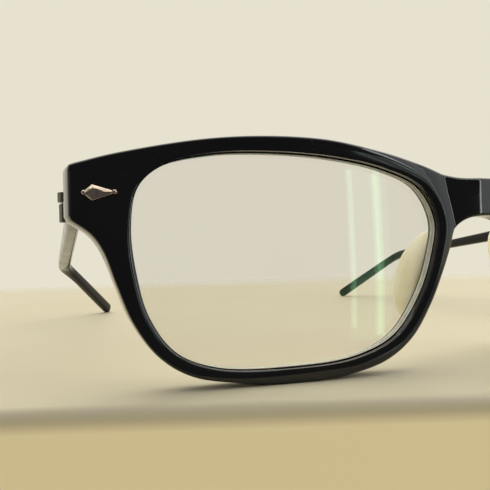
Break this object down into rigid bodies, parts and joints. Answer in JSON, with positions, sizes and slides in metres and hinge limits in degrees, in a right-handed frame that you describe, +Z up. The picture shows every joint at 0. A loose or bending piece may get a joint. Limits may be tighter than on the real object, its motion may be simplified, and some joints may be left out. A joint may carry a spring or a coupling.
{
  "type": "spectacles",
  "caption": "Full-rim acetate spectacles with bevel-edged clear lenses, bonded nose pads, diamond rivet heads on the endpieces and folding temples on barrel hinges.",
  "frame": {"origin": "middle of the footprint on the surface it stands on, open, on its lower rims and temple tips", "axes": "+X to the wearer's left, -Y out of the front face of the lenses, +Z up"},
  "size_m": [0.1432, 0.1338, 0.0391],
  "materials": {
    "black_acetate": "polished black cellulose acetate",
    "coated_lens": "clear lens with a green-reflecting coating and a ground edge",
    "clear_acetate": "polished translucent cream acetate",
    "chrome_trim": "polished plated metal with facets",
    "hinge_metal": "dark plated nickel silver",
    "bright_steel": "bare steel"
  },
  "bodies": {
    "front": {"front_frame": "black_acetate", "left_lens": "coated_lens", "left_nose_pad": "clear_acetate", "left_rivet_plaque": "chrome_trim", "left_front_hinge_leaf": "hinge_metal", "left_hinge_washer": "bright_steel", "left_hinge_screw": "bright_steel", "right_lens": "coated_lens", "right_nose_pad": "clear_acetate", "right_rivet_plaque": "chrome_trim", "right_front_hinge_leaf": "hinge_metal", "right_hinge_washer": "bright_steel", "right_hinge_screw": "bright_steel"},
    "left_temple_arm": {"left_temple": "black_acetate", "left_temple_hinge_leaf": "hinge_metal", "left_core_wire": "bright_steel", "left_temple_rivet_front": "bright_steel", "left_temple_rivet_rear": "bright_steel"},
    "right_temple_arm": {"right_temple": "black_acetate", "right_temple_hinge_leaf": "hinge_metal", "right_core_wire": "bright_steel", "right_temple_rivet_front": "bright_steel", "right_temple_rivet_rear": "bright_steel"}
  },
  "joints": [
    {"name": "right_temple_fold", "type": "hinge", "parent": "front", "child": "right_temple_arm", "pos_m": [-0.07015, -0.04803, 0.029], "axis": [0, 0, -1], "range_deg": [0, 84]},
    {"name": "left_temple_fold", "type": "hinge", "parent": "front", "child": "left_temple_arm", "pos_m": [0.07015, -0.04803, 0.029], "axis": [0, 0, 1], "range_deg": [0, 77]}
  ]
}
